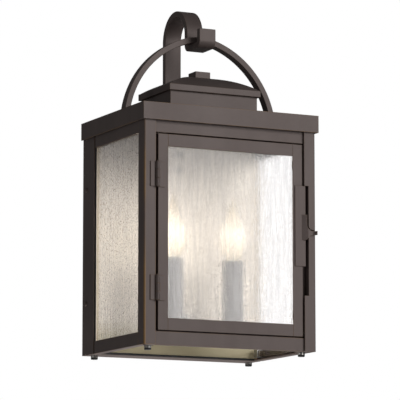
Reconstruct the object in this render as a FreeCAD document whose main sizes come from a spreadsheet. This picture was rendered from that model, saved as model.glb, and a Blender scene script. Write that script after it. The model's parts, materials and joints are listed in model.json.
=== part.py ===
import FreeCAD, Part
import math
import operator
import os

import Sketcher

# Outdoor wall lantern in millimetres: a sheet metal house on a shallow wall box, with a hinged
# glazed front door, a sliding door latch, two candle lamps inside, a vented roof, and a hook that
# carries the roof's bail.  The wall is the plane Y = 0, the lantern stands out towards -Y, +X is
# the viewer's right, +Z is up, and the origin is the middle of the two wall screws.

document = FreeCAD.newDocument("wall_lantern")
sheet = document.addObject("Spreadsheet::Sheet", "Sizes")

SIGNS = {"+": operator.add, "-": operator.sub, "*": operator.mul, "/": operator.truediv}

# Cutting tools reach this far past the solid they cut, and the sheet metal's drills are this long.
OVERCUT = 1
DRILL = 5

sheet_rows = []
pieces = []


# ---------------------------------------------------------------- sizes that live in the sheet

class Size:
    """A length written as a spreadsheet formula, with its present value beside it."""

    def __init__(self, formula, value):
        self.formula = formula
        self.value = value

    def __add__(self, other):
        return combined(self, "+", other)

    def __radd__(self, other):
        return combined(other, "+", self)

    def __sub__(self, other):
        return combined(self, "-", other)

    def __rsub__(self, other):
        return combined(other, "-", self)

    def __mul__(self, other):
        return combined(self, "*", other)

    def __rmul__(self, other):
        return combined(other, "*", self)

    def __truediv__(self, other):
        return combined(self, "/", other)

    def __neg__(self):
        return combined(-1, "*", self)


def as_size(number):
    """Gives a plain number the same form as a sheet size."""
    if isinstance(number, Size):
        return number
    return Size("({:.6f})".format(number), float(number))


def combined(left, sign, right):
    """Joins two sizes with + - * or /."""
    left = as_size(left)
    right = as_size(right)
    formula = "({} {} {})".format(left.formula, sign, right.formula)
    return Size(formula, SIGNS[sign](left.value, right.value))


def size(name, value, meaning):
    """Adds one driving dimension to the sheet and returns it."""
    sheet_rows.append(name)
    row = len(sheet_rows)
    sheet.set("A{}".format(row), name)
    sheet.set("B{}".format(row), str(value))
    sheet.set("C{}".format(row), meaning)
    sheet.setAlias("B{}".format(row), name)
    return Size("Sizes." + name, float(value))


def bind(thing, field, value):
    """Ties one property of an object to its formula."""
    thing.setExpression(field, as_size(value).formula)


def place(thing, x, y, z):
    """Ties an object's position to three formulas."""
    bind(thing, "Placement.Base.x", x)
    bind(thing, "Placement.Base.y", y)
    bind(thing, "Placement.Base.z", z)


# ---------------------------------------------------------------- driving dimensions

width = size("width", 230, "width of the house")
depth = size("depth", 178, "front of the posts to the wall")
body_height = size("body_height", 268, "underside to the roof skirt")
sheet_metal = size("sheet_metal", 1.5, "thickness of the folded sheet")
door_metal = size("door_metal", 1.2, "thickness of the door's sheet")
glass = size("glass", 3, "thickness of every pane")
gap = size("gap", 0.2, "assembly gap between fixed pieces")
running_gap = size("running_gap", 0.3, "gap between sliding pieces")

skirt = size("skirt", 21, "height of the roof skirt")
side_overhang = size("side_overhang", 3.1, "roof beyond the sides")
front_overhang = size("front_overhang", 4, "roof beyond the posts")
roof_vent_x = size("roof_vent_x", 100, "vent opening in the roof, across")
roof_vent_y = size("roof_vent_y", 62, "vent opening in the roof, deep")
crown_y = size("crown_y", -92, "centre line of chimney and lid")

chimney_width = size("chimney_width", 118, "chimney, across")
chimney_depth = size("chimney_depth", 81, "chimney, deep")
chimney_height = size("chimney_height", 25.7, "chimney, roof to lid")
lid_width = size("lid_width", 124.3, "lid, across")
lid_depth = size("lid_depth", 90, "lid, deep")
lid_rim = size("lid_rim", 8.1, "height of the lid's square rim")
lid_rise = size("lid_rise", 18.3, "rise of the lid's pillow above its rim")
lid_lip = size("lid_lip", 8, "inward lip under the lid")
lid_edge = size("lid_edge", 0.7, "rounding of the lid's rim")
block_size = size("block_size", 20, "finial block, square")
block_height = size("block_height", 6.4, "finial block above the pillow's top")
stud_radius = size("stud_radius", 2, "finial stud")

bail_y = size("bail_y", -90.6, "centre line of the bail")
bail_foot = size("bail_foot", 103.7, "outer half span of the bail at the roof")
bail_bar = size("bail_bar", 7.2, "radial thickness of the bail")
bail_width = size("bail_width", 12.7, "flat width of the bail")
bail_side_x = size("bail_side_x", 13.8, "side arcs' centres, across from the middle")
bail_side_z = size("bail_side_z", 141.65, "height of the side arcs' centres")
bail_crown_z = size("bail_crown_z", 184.9, "height of the crown arc's centre")
bail_join = size("bail_join", 22.15, "outer end of the crown arc, from the middle")
bail_join_z = size("bail_join_z", 254.3, "height of the crown arc's outer ends")
bail_join_inner = size("bail_join_inner", 19.96, "inner end of the crown arc, from the middle")
bail_join_inner_z = size("bail_join_inner_z", 247.5, "height of the crown arc's inner ends")
bar_edge = size("bar_edge", 0.6, "rounding of the forged bars")

strap_width = size("strap_width", 22, "flat width of the hook strap")
strap_bar = size("strap_bar", 7.5, "thickness of the hook strap")
strap_wall_gap = size("strap_wall_gap", 10, "wall to the hook strap")
crook_radius = size("crook_radius", 35, "outer radius of the crook")
crook_height = size("crook_height", 263.9, "centre of the crook")
seat_front_y = size("seat_front_y", -115.2, "front of the hook's lip")
lip_top = size("lip_top", 265.2, "top of the hook's lip")
seat_height = size("seat_height", 249.3, "top of the seat under the bail")
seat_corner = size("seat_corner", 9.5, "outer corners of the seat")
seat_fillet = size("seat_fillet", 2, "inner corners of the seat")
strap_tail = size("strap_tail", 90, "lower end of the hook strap")
hook_screw_low = size("hook_screw_low", 10, "lower hook screw above the strap's end")
hook_screw_pitch = size("hook_screw_pitch", 20, "between the two hook screws")
hook_screw_head = size("hook_screw_head", 4, "head radius of a hook screw")
spacer_height = size("spacer_height", 40, "height of the hook spacer")

wall_box_depth = size("wall_box_depth", 33, "depth of the box on the wall")
slot_spacing = size("slot_spacing", 88.9, "wall screw spacing")
slot_width = size("slot_width", 5.2, "width of the wall slots")
slot_length = size("slot_length", 14, "end to end length of the wall slots")
inlet_radius = size("inlet_radius", 16, "supply wire hole")
wall_plate_height = size("wall_plate_height", 224, "height of the wall plate")
plate_flange = size("plate_flange", 20, "side flanges of the wall plate")
ground_x = size("ground_x", 70, "ground screw, across from the middle")
ground_z = size("ground_z", -60, "height of the ground screw")
panel_half = size("panel_half", 110, "back panel, half its width")
panel_metal = size("panel_metal", 1, "thickness of the back panel")
panel_low = size("panel_low", 2.8, "lower edge of the back panel above the underside")
panel_high = size("panel_high", 4, "upper edge of the back panel below the roof")
side_screw_y = size("side_screw_y", -10.5, "side screws from the wall")
side_screw_z = size("side_screw_z", 70.4, "side screws above and below centre")
screw_radius = size("screw_radius", 1.75, "thread radius of the small screws")
screw_head = size("screw_head", 3.2, "head radius of the small screws")
screw_head_height = size("screw_head_height", 1.8, "head height of the small screws")

post_face = size("post_face", 15, "front flange of a post")
post_side = size("post_side", 17, "side flange of a post")
post_proud = size("post_proud", 3, "posts stand proud of the door")
fold_radius = size("fold_radius", 1.4, "outer radius of the post's fold")
side_top_rail = size("side_top_rail", 14.2, "visible height of a side's top rail")
side_bottom_rail = size("side_bottom_rail", 15.3, "height of a side's bottom rail")
front_top_rail = size("front_top_rail", 13.7, "visible height of the front top rail")
front_bottom_rail = size("front_bottom_rail", 16.1, "height of the front bottom rail")
groove = size("groove", 3.4, "groove between the house and the wall box")
seal_width = size("seal_width", 2.8, "seals in the grooves, inward from the side rails")
seal_low = size("seal_low", 0.4, "seal under the back panel, above the underside")
seal_high = size("seal_high", 2.6, "top of the seal under the back panel, above the underside")
bottom_flange = size("bottom_flange", 8.5, "inward flange below the side rails")
stop_metal = size("stop_metal", 1.2, "thickness of the door stops")
stop_lap = size("stop_lap", 7, "rail stops behind the door")
stop_reach = size("stop_reach", 10, "post stops beyond the post's edge")
notch_depth = size("notch_depth", 5.7, "latch notch cut into the right post")
notch_low = size("notch_low", -66.3, "bottom of the latch notch")
notch_high = size("notch_high", 68, "top of the latch notch")

door_left = size("door_left", -95.4, "left edge of the door")
door_right = size("door_right", 98.8, "right edge of the door")
door_gap = size("door_gap", 1.8, "gap above and below the door")
door_depth = size("door_depth", 7.2, "depth of the door's edge flange")
stile = size("stile", 13, "face width of a door stile")
door_rail = size("door_rail", 14.5, "face width of a door rail")
joint_gap = size("joint_gap", 0.15, "joint line between door rail and stile")
glass_lap = size("glass_lap", 3.5, "door glass behind its frame")

hinge_x = size("hinge_x", -98.6, "hinge axis")
hinge_y = size("hinge_y", -180.8, "hinge axis")
hinge_spacing = size("hinge_spacing", 135.6, "distance between the two hinges")
hinge_height = size("hinge_height", 30, "height of a hinge")
knuckle_radius = size("knuckle_radius", 2.6, "hinge barrel")
pin_radius = size("pin_radius", 1.2, "hinge pin")
pin_clearance = size("pin_clearance", 0.05, "radial play of the pin")
leaf_metal = size("leaf_metal", 1.3, "thickness of a hinge leaf")
post_leaf = size("post_leaf", -107.4, "outer edge of the post leaf")
door_leaf = size("door_leaf", -87, "outer edge of the door leaf")

latch_left = size("latch_left", 88.1, "left edge of the latch plate")
latch_right = size("latch_right", 102.3, "right edge of the latch plate")
latch_low = size("latch_low", -30.6, "bottom of the latch plate")
latch_high = size("latch_high", 67.9, "top of the latch plate")
latch_metal = size("latch_metal", 1, "thickness of the latch plate")
latch_travel = size("latch_travel", 35, "travel of the latch")
latch_stud_x = size("latch_stud_x", 93.6, "centre line of the latch studs")
latch_stud_high = size("latch_stud_high", 58, "upper latch stud")
latch_stud_low = size("latch_stud_low", 10, "lower latch stud")
latch_stud_radius = size("latch_stud_radius", 1.8, "shank of a latch stud")
latch_stud_head = size("latch_stud_head", 2.8, "head of a latch stud")
ramp_start = size("ramp_start", 97, "the finger tab starts to rise from the plate")
ramp_end = size("ramp_end", 104.5, "the finger tab is clear of the post's face")
finger_z = size("finger_z", 10.4, "middle of the finger tab's tip")
finger_tip = size("finger_tip", 2.2, "radius of the finger tab's tip")
finger_sweep = size("finger_sweep", 7.5, "hollow curve above the finger tab")
finger_root = size("finger_root", 103.3, "right edge of the finger tab's root")
finger_top = size("finger_top", 32.5, "top of the finger tab's root")
finger_low = size("finger_low", 1.5, "bottom of the finger tab's root")
finger_neck_x = size("finger_neck_x", 107.6, "corner in the finger tab's lower edge, across")
finger_neck_z = size("finger_neck_z", 6.8, "height of the corner in the finger tab's lower edge")
finger_lift = size("finger_lift", 0.6, "finger tab in front of the post")
finger_curl = size("finger_curl", 4.4, "radius of the finger tab's outward curl")
relief_low = size("relief_low", 9.5, "bottom of the post's cut behind the finger tab")
relief_end = size("relief_end", 112.8, "outer end of the post's cut behind the finger tab")
relief_x = size("relief_x", 111.6, "centre of the cut's round corner, across")
relief_z = size("relief_z", 20.4, "height of the centre of the cut's round corner")
relief_radius = size("relief_radius", 6.2, "radius of the cut's round corner")
trim_length = size("trim_length", 80, "length of the shapes that only trim others")

clip_front_y = size("clip_front_y", -149, "front clips of the side panes from the wall")
clip_rear_y = size("clip_rear_y", -44, "rear clips of the side panes from the wall")
front_rod_x = size("front_rod_x", 102.9, "front corner rods from the centre")
front_rod_y = size("front_rod_y", -162.6, "front corner rods from the wall")
rear_rod_x = size("rear_rod_x", 106.2, "rear corner rods from the centre")
rear_rod_y = size("rear_rod_y", -16.9, "rear corner rods from the wall")
foot_radius = size("foot_radius", 4.3, "corner nuts and their caps")
nut_height = size("nut_height", 3.1, "corner nut")
cap_height = size("cap_height", 2.3, "rubber cap under a corner nut")

candle_x = size("candle_x", 41, "candles from the centre")
candle_y = size("candle_y", -101.5, "candles from the wall")
candle_top = size("candle_top", -20, "top of the candle sleeves")
candle_radius = size("candle_radius", 12.7, "outer radius of a candle sleeve")
sleeve_wall = size("sleeve_wall", 1, "wall of a candle sleeve")
bar_top = size("bar_top", -102, "top of the lamp bar")
bar_metal = size("bar_metal", 2, "thickness of the lamp bar")
bar_width = size("bar_width", 20, "width of the lamp bar")
socket_radius = size("socket_radius", 10, "lamp socket")
cap_radius = size("cap_radius", 6, "lamp cap, 12 mm screw")
lamp_radius = size("lamp_radius", 17, "widest part of a lamp")
lamp_top = size("lamp_top", 61, "tip of a lamp")
bar_overhang = size("bar_overhang", 12, "lamp bar beyond each candle's middle")
bar_arm = size("bar_arm", 12, "half width of the lamp bar's arm and tab")
bar_tab = size("bar_tab", 22, "lamp bar's tab above the bar")
bar_screw_rise = size("bar_screw_rise", 14, "lamp bar's screws above the bar")
bar_screw_reach = size("bar_screw_reach", 6, "lamp bar's screws from the middle")
nipple_radius = size("nipple_radius", 5, "threaded foot of a socket")
lead_radius = size("lead_radius", 1.4, "insulated lead")
grommet_x = size("grommet_x", 28, "lead grommet from the centre")
grommet_z = size("grommet_z", -98, "height of the lead grommet")
grommet_neck = size("grommet_neck", 6, "radius of the grommet in the panel's hole")
grommet_rim = size("grommet_rim", 8.5, "radius of the grommet's rims")
grommet_bore = size("grommet_bore", 3.6, "radius of the grommet's bore")
grommet_lip = size("grommet_lip", 1.5, "thickness of the grommet's rims")

# Planes and edges worked out from the driving dimensions.
half = width / 2
front = -depth
low = -body_height / 2
high = body_height / 2
door_plane = front + post_proud
roof_top = high + skirt
roof_under = roof_top - sheet_metal
box_front = -wall_box_depth
panel_front = box_front - panel_metal
door_low = low + front_bottom_rail + door_gap
door_high = high - front_top_rail - door_gap
door_middle = (door_low + door_high) / 2
lip_front = door_plane + door_depth + 0.5
lip_back = lip_front + stop_metal


# ---------------------------------------------------------------- ways to make a solid

def block(label, x, y, z):
    """A rectangular block, given its lowest and highest X, Y and Z."""
    solid = document.addObject("Part::Box", label)
    for field, (start, end) in zip(("Length", "Width", "Height"), (x, y, z)):
        bind(solid, field, end - start)
    place(solid, x[0], y[0], z[0])
    return solid


TURNS = {
    "X": FreeCAD.Rotation(FreeCAD.Vector(0, 1, 0), 90),
    "-X": FreeCAD.Rotation(FreeCAD.Vector(0, 1, 0), -90),
    "Y": FreeCAD.Rotation(FreeCAD.Vector(1, 0, 0), -90),
    "-Y": FreeCAD.Rotation(FreeCAD.Vector(1, 0, 0), 90),
    "Z": FreeCAD.Rotation(),
    "-Z": FreeCAD.Rotation(FreeCAD.Vector(1, 0, 0), 180),
}


def rod(label, start, axis, radius, length):
    """A cylinder from a start point along an axis."""
    solid = document.addObject("Part::Cylinder", label)
    solid.Placement = FreeCAD.Placement(FreeCAD.Vector(), TURNS[axis])
    bind(solid, "Radius", radius)
    bind(solid, "Height", length)
    place(solid, *start)
    return solid


def taper(label, start, axis, radius, end_radius, length):
    """A cone stump from a start point along an axis."""
    solid = document.addObject("Part::Cone", label)
    solid.Placement = FreeCAD.Placement(FreeCAD.Vector(), TURNS[axis])
    bind(solid, "Radius1", radius)
    bind(solid, "Radius2", end_radius)
    bind(solid, "Height", length)
    place(solid, *start)
    return solid


def fused(label, *solids):
    """Several solids joined into one."""
    joined = document.addObject("Part::MultiFuse", label)
    joined.Shapes = list(solids)
    joined.Refine = True
    return joined


def cut(label, base, *tools):
    """One solid with others taken away from it."""
    result = document.addObject("Part::Cut", label)
    result.Base = base
    result.Tool = tools[0] if len(tools) == 1 else grouped(label + "_tools", *tools)
    result.Refine = True
    return result


def grouped(label, *solids):
    """Separate solids kept in one object."""
    group = document.addObject("Part::Compound", label)
    group.Links = list(solids)
    return group


def common(label, first, second):
    """What two solids share."""
    shared = document.addObject("Part::MultiCommon", label)
    shared.Shapes = [first, second]
    return shared


def piece(solid):
    """Marks an object as a finished sub-part, written under its label."""
    pieces.append(solid)
    return solid


def mirror_span(side, inner, outer):
    """A span of X on the right (side 1) or mirrored to the left (side -1)."""
    return (inner, outer) if side > 0 else (-outer, -inner)


def point_constraint(sketch, geometry, position, axis, value):
    """Holds one coordinate of a sketch point at its formula."""
    kind = "DistanceX" if axis == 0 else "DistanceY"
    sketch.addConstraint(Sketcher.Constraint(kind, -1, 1, geometry, position, as_size(value).value))
    bind(sketch, "Constraints[{}]".format(sketch.ConstraintCount - 1), value)


def flat(point):
    """The present place of a sketch point."""
    return FreeCAD.Vector(as_size(point[0]).value, as_size(point[1]).value, 0)


def outline_sketch(body, plane_role, outline):
    """A closed sketch on one of the body's origin planes.

    The outline starts with a point.  Each further step is (x, y) for a straight line, or
    (x, y, centre, turn) for an arc about centre, turn 1 anticlockwise and -1 clockwise.  A line
    closes the outline.
    """
    sketch = body.newObject("Sketcher::SketchObject", body.Label + "_outline")
    plane = [item for item in body.Origin.OriginFeatures if item.Role == plane_role][0]
    sketch.AttachmentSupport = (plane, [""])
    sketch.MapMode = "FlatFace"
    ends = []
    here = outline[0]
    for step in outline[1:] + [outline[0]]:
        start = flat(here)
        end = flat(step)
        if len(step) == 2:
            sketch.addGeometry(Part.LineSegment(start, end), False)
            ends.append((1, 2))
        else:
            centre = flat(step[2])
            circle = Part.Circle(centre, FreeCAD.Vector(0, 0, 1), (start - centre).Length)
            angles = [math.atan2(spot.y - centre.y, spot.x - centre.x) for spot in (start, end)]
            if step[3] < 0:
                angles.reverse()
            if angles[1] <= angles[0]:
                angles[1] += 2 * math.pi
            sketch.addGeometry(Part.ArcOfCircle(circle, angles[0], angles[1]), False)
            ends.append((1, 2) if step[3] > 0 else (2, 1))
        here = step
    for index, end in enumerate(ends):
        following = (index + 1) % len(ends)
        sketch.addConstraint(Sketcher.Constraint("Coincident", index, end[1], following,
                                                 ends[following][0]))
    point_constraint(sketch, 0, 1, 0, outline[0][0])
    point_constraint(sketch, 0, 1, 1, outline[0][1])
    for index, step in enumerate(outline[1:]):
        if len(step) == 2:
            point_constraint(sketch, index, 2, 0, step[0])
            point_constraint(sketch, index, 2, 1, step[1])
        else:
            centre = step[2]
            point_constraint(sketch, index, 3, 0, centre[0])
            point_constraint(sketch, index, 3, 1, centre[1])
            reach = flat(step) - flat(centre)
            axis = 0 if abs(reach.y) > abs(reach.x) else 1
            point_constraint(sketch, index, ends[index][1], axis, step[axis])
    return sketch


def padded(label, plane_role, outline, length, at=(0, 0, 0), edge=None):
    """A body padded equally to both sides of an origin plane, with its edges rounded by edge."""
    body = document.addObject("PartDesign::Body", label)
    pad = body.newObject("PartDesign::Pad", label + "_pad")
    pad.Profile = outline_sketch(body, plane_role, outline)
    pad.SideType = "Symmetric"
    bind(pad, "Length", length)
    if edge is not None:
        document.recompute()
        rounding = body.newObject("PartDesign::Fillet", label + "_rounding")
        rounding.Base = (pad, [""])
        rounding.UseAllEdges = True
        bind(rounding, "Radius", edge)
    place(body, *at)
    return body


def turned(label, outline, at):
    """A body turned about a vertical axis, from an outline of (radius, height) points."""
    body = document.addObject("PartDesign::Body", label)
    sketch = outline_sketch(body, "XZ_Plane", outline)
    turn = body.newObject("PartDesign::Revolution", label + "_turn")
    turn.Profile = sketch
    turn.ReferenceAxis = (sketch, ["V_Axis"])
    turn.Angle = 360
    place(body, *at)
    return body


def screw(label, seat, axis, length, radius=screw_radius, head=screw_head,
          head_height=screw_head_height):
    """A pan head screw: the seat is under its head, and axis is the way its shank points."""
    shank = rod(label + "_shank", seat, axis, radius, length)
    backwards = axis[1:] if axis.startswith("-") else "-" + axis
    top = taper(label + "_head", seat, backwards, head, head * 0.72, head_height)
    return fused(label, shank, top)


# ---------------------------------------------------------------- wall plate and wall box

def wall_slot(label, x):
    """A slot for one wall screw, running along X through the wall plate."""
    straight = (slot_length - slot_width) / 2
    y = (-2 * sheet_metal, sheet_metal)
    middle = block(label + "_middle", (x - straight, x + straight), y,
                   (-slot_width / 2, slot_width / 2))
    ends = []
    for side in (-1, 1):
        ends.append(rod("{}_end{}".format(label, side + 1), (x + side * straight, y[0], 0), "Y",
                        slot_width / 2, 3 * sheet_metal))
    return fused(label, middle, *ends)


def build_wall_plate():
    """The plate that the wall screws hold: slots, supply hole and two drilled side flanges."""
    outer = half - sheet_metal - gap
    tall = (-wall_plate_height / 2, wall_plate_height / 2)
    parts = [block("wall_plate_web", (-outer, outer), (-sheet_metal, 0), tall)]
    holes = [wall_slot("wall_slot_left", -slot_spacing / 2),
             wall_slot("wall_slot_right", slot_spacing / 2),
             rod("supply_hole", (0, -2 * sheet_metal, 0), "Y", inlet_radius, 3 * sheet_metal),
             rod("ground_hole", (ground_x, -2 * sheet_metal, ground_z), "Y", screw_radius,
                 3 * sheet_metal)]
    for side in (-1, 1):
        parts.append(block("wall_plate_flange{}".format(side + 1),
                           mirror_span(side, outer - sheet_metal, outer),
                           (-plate_flange, 0), tall))
        for level in (-1, 1):
            holes.append(rod("flange_hole{}{}".format(side + 1, level + 1),
                             (side * (outer - 3), side_screw_y, level * side_screw_z),
                             "X" if side > 0 else "-X", screw_radius, 6))
    piece(cut("wall_plate", fused("wall_plate_blank", *parts), *holes))
    piece(screw("ground_screw", (ground_x, -sheet_metal, ground_z), "Y", sheet_metal - 0.1))


def build_wall_box():
    """The shallow box behind the house, open to the wall, and the four screws in its sides."""
    inner = half - sheet_metal
    blank = block("wall_box_blank", (-half, half), (box_front, 0), (low, roof_under))
    hollow = block("wall_box_hollow", (-inner, inner), (box_front + sheet_metal, OVERCUT),
                   (low + sheet_metal, roof_under + OVERCUT))
    holes = [hollow,
             rod("box_lead_hole", (grommet_x, box_front - OVERCUT, grommet_z), "Y", grommet_neck,
                 DRILL)]
    for level in (0, 1):
        holes.append(rod("box_hook_hole{}".format(level),
                         (0, box_front - OVERCUT, hook_screw_z(level)), "Y", stud_radius, DRILL))
        holes.append(rod("box_bar_hole{}".format(level),
                         (bar_screw_x(level), box_front - OVERCUT, bar_screw_z()), "Y",
                         screw_radius, DRILL))
    for side in (-1, 1):
        holes.append(rod("box_rod_hole{}".format(side + 1),
                         (side * rear_rod_x, rear_rod_y, low - OVERCUT), "Z", stud_radius, DRILL))
        for level in (-1, 1):
            holes.append(rod("box_side_hole{}{}".format(side + 1, level + 1),
                             (side * (half - 3), side_screw_y, level * side_screw_z),
                             "X" if side > 0 else "-X", screw_radius, DRILL))
    piece(cut("wall_box", blank, *holes))
    screws = []
    for side in (-1, 1):
        for level in (-1, 1):
            screws.append(screw("side_screw{}{}".format(side + 1, level + 1),
                                (side * half, side_screw_y, level * side_screw_z),
                                "-X" if side > 0 else "X", 6))
    piece(grouped("side_screws", *screws))


def build_back_panel():
    """The satin panel that throws the light forward, with the lead grommet through it."""
    blank = block("back_panel_blank", (-panel_half, panel_half), (panel_front, box_front),
                  (low + panel_low, roof_under - panel_high))
    holes = [rod("panel_lead_hole", (grommet_x, panel_front - OVERCUT, grommet_z), "Y",
                 grommet_neck, DRILL)]
    for level in (0, 1):
        holes.append(rod("panel_hook_hole{}".format(level),
                         (0, panel_front - OVERCUT, hook_screw_z(level)), "Y", hook_screw_head,
                         DRILL))
        holes.append(rod("panel_bar_hole{}".format(level),
                         (bar_screw_x(level), panel_front - OVERCUT, bar_screw_z()), "Y",
                         screw_radius, 3))
    piece(cut("back_panel", blank, *holes))
    front_face = panel_front - grommet_lip
    rear_face = box_front + sheet_metal + grommet_lip
    sleeve = rod("grommet_sleeve", (grommet_x, front_face, grommet_z), "Y", grommet_neck,
                 rear_face - front_face)
    rims = [rod("grommet_front_rim", (grommet_x, front_face, grommet_z), "Y", grommet_rim,
                grommet_lip),
            rod("grommet_rear_rim", (grommet_x, rear_face - grommet_lip, grommet_z), "Y",
                grommet_rim, grommet_lip)]
    bore = rod("grommet_bore", (grommet_x, front_face - OVERCUT, grommet_z), "Y", grommet_bore,
               rear_face - front_face + 2 * OVERCUT)
    piece(cut("lead_grommet", fused("grommet_blank", sleeve, *rims), bore))


# ---------------------------------------------------------------- house frame

def build_posts():
    """Two front corner posts folded to an L, each with a stop strip behind the door's edge."""
    for side, name in ((-1, "left"), (1, "right")):
        corner = half - fold_radius
        outline = [(side * (half - post_face), door_plane),
                   (side * (half - post_face), front),
                   (side * corner, front),
                   (side * half, front + fold_radius, (side * corner, front + fold_radius), side),
                   (side * half, front + post_side),
                   (side * (half - sheet_metal), front + post_side),
                   (side * (half - sheet_metal), door_plane)]
        tall = roof_under - low
        middle = (roof_under + low) / 2
        label = name + "_post"
        angle = padded(label + "_angle", "XY_Plane", outline, tall, (0, 0, middle))
        edge = half - post_face
        web = (edge + notch_depth + gap, edge + notch_depth + gap + stop_metal)
        level = (low + front_bottom_rail + stop_lap + gap, high - front_top_rail - stop_lap - gap)
        stop = [block(name + "_stop_web", mirror_span(side, *web), (door_plane, lip_back), level),
                block(name + "_stop_lip", mirror_span(side, edge - stop_reach, web[1]),
                      (lip_front, lip_back), level)]
        if side < 0:
            piece(fused(label, angle, *stop))
            continue
        blank = fused(label + "_blank", angle, *stop)
        notch = block("latch_notch", (edge - OVERCUT, edge + notch_depth),
                      (front - OVERCUT, door_plane + OVERCUT), (notch_low, notch_high))
        piece(cut(label, blank, notch, finger_relief(edge)))


def finger_relief(edge):
    """The cut in the right post's face that follows the hollow edge of the latch's finger tab."""
    outline = [(edge, relief_low),
               (relief_end, relief_low),
               (relief_end, relief_z - relief_radius),
               (relief_x, relief_z - relief_radius),
               (relief_x - relief_radius, relief_z, (relief_x, relief_z), -1),
               (edge, relief_z)]
    return padded("finger_relief", "XZ_Plane", outline, 2 * post_proud + 2 * running_gap,
                  (0, front, 0))


def build_side_rails():
    """The rails above and below each side pane, with the seals that close the grooves.

    Each lower rail has an inward flange, and a third seal lies under the back panel.
    """
    rear = box_front - groove
    start = front + post_side
    seals = []
    for side, name in ((-1, "left"), (1, "right")):
        face = mirror_span(side, half - sheet_metal, half)
        top = (high - side_top_rail, roof_under)
        piece(block(name + "_top_rail", face, (start, rear), top))
        bottom = (low, low + side_bottom_rail)
        floor = (low, low + sheet_metal)
        flange_edge = half - sheet_metal - bottom_flange
        blank = fused(name + "_bottom_rail_blank",
                      block(name + "_bottom_rail_face", face, (start, rear), bottom),
                      block(name + "_bottom_rail_flange",
                            mirror_span(side, flange_edge, half - sheet_metal),
                            (lip_back, box_front), floor),
                      block(name + "_bottom_rail_pad", mirror_span(side, front_rod_x - 6, half - 5),
                            (lip_back, front_rod_y + 7), floor))
        hole = rod(name + "_bottom_rail_hole", (side * front_rod_x, front_rod_y, low - OVERCUT),
                   "Z", stud_radius, DRILL)
        piece(cut(name + "_bottom_rail", blank, hole))
        seals.append(block(name + "_seal",
                           mirror_span(side, half - sheet_metal - seal_width, half - sheet_metal),
                           (rear, box_front), (low + sheet_metal, roof_under)))
    sill = half - sheet_metal - bottom_flange - gap
    seals.append(block("panel_seal", (-sill, sill), (panel_front - panel_metal, box_front),
                       (low + seal_low, low + seal_high)))
    piece(grouped("seals", *seals))


def build_front_rails():
    """The rails above and below the door, each folded back to a stop lip behind the door."""
    face = door_plane + sheet_metal
    length = 2 * (half - 5)
    edge = high - front_top_rail
    top = [(door_plane, edge), (lip_front, edge), (lip_front, edge - stop_lap),
           (lip_back, edge - stop_lap),
           (lip_back, edge + sheet_metal), (face, edge + sheet_metal), (face, roof_under),
           (door_plane, roof_under)]
    piece(padded("front_top_rail", "YZ_Plane", top, length))
    edge = low + front_bottom_rail
    bottom = [(door_plane, low), (door_plane + 6, low), (door_plane + 6, low + 1.2),
              (face, low + 1.2), (face, edge - sheet_metal), (lip_back, edge - sheet_metal),
              (lip_back, edge + stop_lap), (lip_front, edge + stop_lap), (lip_front, edge),
              (door_plane, edge)]
    piece(padded("front_bottom_rail", "YZ_Plane", bottom, length))


def side_clip(label, side, y, level):
    """A bent clip that holds a side pane's edge: level -1 at the bottom, 1 at the top."""
    pane = half - sheet_metal - gap
    inner = pane - glass
    foot = level * (body_height / 2 - 3.4)
    end = pane - 11.2
    outline = [(side * pane, foot),
               (side * end, foot),
               (side * end, foot - level * 9.6),
               (side * (inner - 0.1), foot - level * 9.6),
               (side * (inner - 0.1), foot - level * 8.6),
               (side * (end + 1), foot - level * 8.6),
               (side * (end + 1), foot - level * 1),
               (side * pane, foot - level * 1)]
    return padded(label, "XZ_Plane", outline, 9, (0, y, 0))


def build_side_glass():
    """One rain glass pane in each side, and the eight clips that hold them."""
    pane = half - sheet_metal - gap
    reach = body_height / 2 - 4.5
    clips = []
    for side, name in ((-1, "left"), (1, "right")):
        piece(block(name + "_side_glass", mirror_span(side, pane - glass, pane),
                    (front + post_side - 8, box_front - groove - running_gap), (-reach, reach)))
        for level in (-1, 1):
            for place_name, y in (("front", clip_front_y), ("rear", clip_rear_y)):
                label = "{}_{}_clip{}".format(name, place_name, level + 1)
                clips.append(side_clip(label, side, y, level))
    piece(grouped("side_glass_clips", *clips))


def build_corner_rods():
    """Four threaded rods that pull the roof down on the house, with nuts at both ends."""
    rods, nuts, caps, roof_nuts = [], [], [], []
    corners = [(side * x, y) for x, y in ((front_rod_x, front_rod_y), (rear_rod_x, rear_rod_y))
               for side in (-1, 1)]
    for index, (x, y) in enumerate(corners):
        bottom = low - nut_height
        rods.append(rod("corner_rod{}".format(index), (x, y, bottom), "Z", stud_radius,
                        roof_under - bottom))
        ring = rod("corner_nut_ring{}".format(index), (x, y, bottom), "Z", foot_radius, nut_height)
        bore = rod("corner_nut_bore{}".format(index), (x, y, bottom - OVERCUT), "Z", stud_radius,
                   nut_height + 2)
        nuts.append(cut("corner_nut{}".format(index), ring, bore))
        cap_outline = [(0, 0), (0, -cap_height), (foot_radius - 1, -cap_height),
                       (foot_radius, 1 - cap_height, (foot_radius - 1, 1 - cap_height), 1),
                       (foot_radius, 0)]
        caps.append(turned("nut_cap{}".format(index), cap_outline, (x, y, bottom)))
        prism = document.addObject("Part::Prism", "roof_nut_prism{}".format(index))
        prism.Polygon = 6
        bind(prism, "Circumradius", foot_radius - 0.3)
        bind(prism, "Height", nut_height)
        place(prism, x, y, roof_under - nut_height)
        roof_bore = rod("roof_nut_bore{}".format(index), (x, y, roof_under - nut_height - 1), "Z",
                        stud_radius, nut_height + 1)
        roof_nuts.append(cut("roof_nut{}".format(index), prism, roof_bore))
    piece(grouped("corner_rods", *rods))
    piece(grouped("corner_nuts", *nuts))
    piece(grouped("nut_caps", *caps))
    piece(grouped("roof_nuts", *roof_nuts))


# ---------------------------------------------------------------- roof, chimney, bail and hook

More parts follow.
